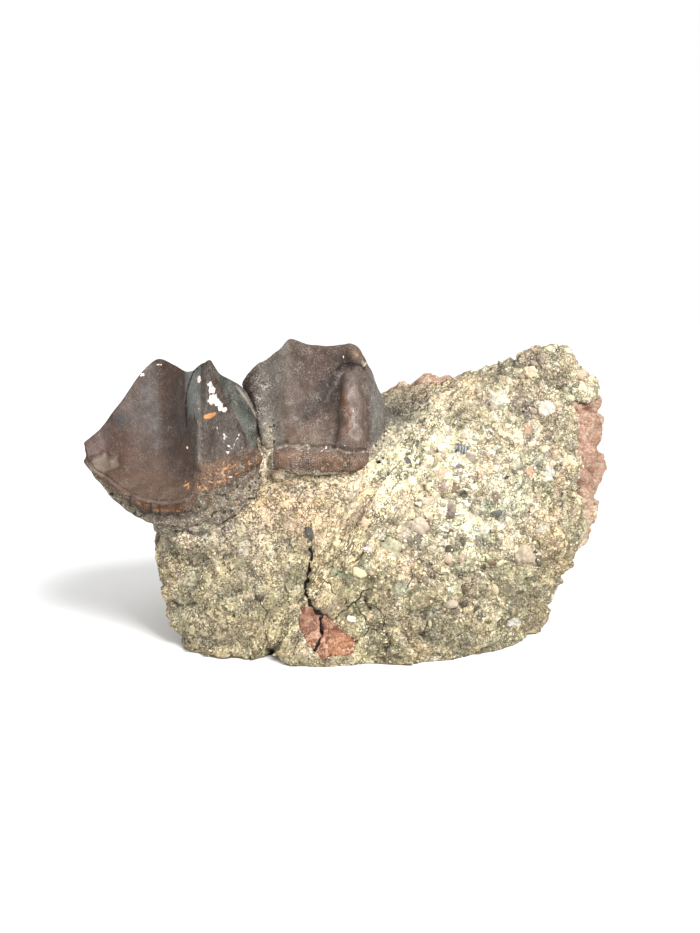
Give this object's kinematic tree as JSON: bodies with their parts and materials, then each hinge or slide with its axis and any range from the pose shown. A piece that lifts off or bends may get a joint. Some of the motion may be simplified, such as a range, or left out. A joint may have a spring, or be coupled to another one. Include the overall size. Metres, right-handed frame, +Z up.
{
  "type": "fossil tooth in matrix",
  "caption": "Two neighbouring fossil titanothere cheek teeth held in their block of pebbly sandstone, a loose display specimen that rests on a flat face.",
  "frame": {"origin": "middle of the flat face that the block rests on", "axes": "+X along the tooth row, to the right as the outer sides of the teeth are seen; +Y from the outer side of the teeth to their tongue side; +Z up from the resting face"},
  "size_m": [0.1369, 0.0775, 0.0791],
  "materials": {
    "sandstone": "rough gritty pebbly sandstone, greenish cream",
    "enamel": "smooth glossy dark brown fossil enamel",
    "red_mudstone": "matte crumbly red mudstone",
    "pink_pebble": "worn pinkish grey pebble",
    "green_pebble": "worn greenish grey pebble",
    "brown_pebble": "worn brownish pebble",
    "pale_pebble": "worn pale pink pebble",
    "striped_pebble": "worn dark grey pebble with pale stripes",
    "quartz_pebble": "milky white quartz pebble",
    "cream_pebble": "worn cream pebble",
    "oval_pebble": "worn pale oval pebble"
  },
  "bodies": {
    "root": {"sandstone_block": "sandstone", "molar": "enamel", "premolar": "enamel", "red_mudstone_clast": "red_mudstone", "red_mudstone_bed": "red_mudstone", "pink_pebble": "pink_pebble", "green_pebble": "green_pebble", "brown_pebble": "brown_pebble", "pale_pebble": "pale_pebble", "striped_pebble": "striped_pebble", "quartz_pebble": "quartz_pebble", "cream_pebble": "cream_pebble", "oval_pebble": "oval_pebble"}
  },
  "joints": []
}
